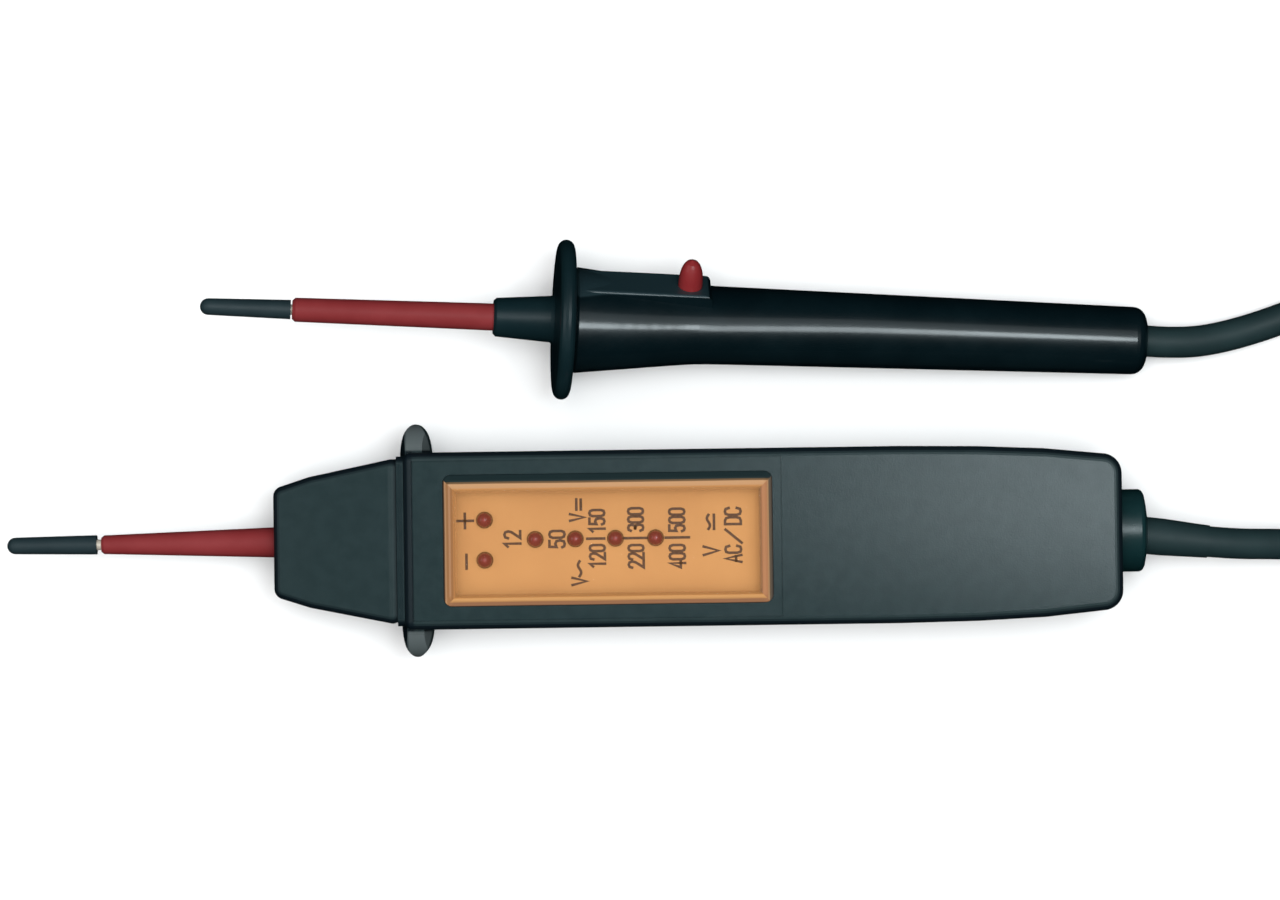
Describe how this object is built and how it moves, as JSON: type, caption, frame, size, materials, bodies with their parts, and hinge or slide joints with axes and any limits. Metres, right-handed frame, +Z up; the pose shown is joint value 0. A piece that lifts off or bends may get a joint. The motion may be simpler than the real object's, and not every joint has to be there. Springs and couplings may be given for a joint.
{
  "type": "two-pole voltage tester",
  "caption": "Two-pole voltage tester: a display unit with LEDs behind a clear window and a round probe with a push button, joined by one cable, both tips capped.",
  "frame": {"origin": "centre of the footprint of the display unit and the probe, on the surface they lie on, without the cable", "axes": "+X from the test tips towards the cable, along the display unit; +Y from the display unit towards the probe; +Z up from the surface"},
  "size_m": [0.3652, 0.0958, 0.0305],
  "materials": {
    "housing_black": "fine matte moulded ABS",
    "gloss_black": "polished moulded plastic",
    "guard_black": "satin moulded plastic",
    "red_sleeve": "satin red insulation",
    "button_red": "satin red plastic",
    "clear_window": "clear moulded plastic",
    "scale_amber": "printed plate",
    "led_red": "tinted LED lens",
    "cap_rubber": "soft black cap",
    "cable_rubber": "smooth cable sheath",
    "pin_metal": "nickel-plated",
    "screw_steel": "zinc-plated",
    "terminal_brass": "turned brass",
    "board_green": "solder-masked laminate",
    "chip_black": "moulded package",
    "capacitor_sleeve": "shrink sleeve",
    "resistor_body": "lacquered",
    "wire_sheath": "wire insulation",
    "clamp_nylon": "natural nylon",
    "tie_nylon": "black nylon"
  },
  "bodies": {
    "root": {"housing_top": "housing_black", "housing_bottom": "housing_black", "housing_screws": "screw_steel", "display_window": "clear_window", "scale_plate": "scale_amber", "led_plus": "led_red", "led_minus": "led_red", "led_50": "led_red", "led_120": "led_red", "led_220": "led_red", "led_400": "led_red", "circuit_board": "board_green", "board_screws": "screw_steel", "driver_chip": "chip_black", "capacitor": "capacitor_sleeve", "series_resistors": "resistor_body", "pin_terminal": "terminal_brass", "terminal_screw": "screw_steel", "main_pin": "pin_metal", "main_sleeve": "red_sleeve", "main_wires": "wire_sheath", "cable_clamp": "clamp_nylon", "clamp_screws": "screw_steel", "cable_gland": "cable_rubber", "cable_boot": "cable_rubber", "probe_pin": "pin_metal", "probe_sleeve": "red_sleeve", "probe_guard": "guard_black", "probe_handle": "gloss_black", "probe_terminal": "terminal_brass", "button_spring": "screw_steel", "push_switch": "chip_black", "switch_board": "board_green", "probe_wires": "wire_sheath", "cable_clip": "screw_steel", "cable_run_probe": "cable_rubber", "cable_coil": "cable_rubber", "cable_tie": "tie_nylon", "cable_run_main": "cable_rubber"},
    "main_cap": {"main_tip_cap": "cap_rubber"},
    "probe_cap": {"probe_tip_cap": "cap_rubber"},
    "button": {"push_button": "button_red"}
  },
  "joints": [
    {"name": "button_press", "type": "slide", "parent": "root", "child": "button", "axis": [-0.087, -0.7953, -0.5999], "range_m": [0, 0.0015], "stiffness_N_per_m": 900, "deforming": ["button_spring"]},
    {"name": "main_cap_pull", "type": "slide", "parent": "root", "child": "main_cap", "axis": [-1, 0, 0], "range_m": [-0.0008, 0.02]},
    {"name": "probe_cap_pull", "type": "slide", "parent": "root", "child": "probe_cap", "axis": [-0.9956, 0.0487, 0.0799], "range_m": [0, 0.02]}
  ]
}
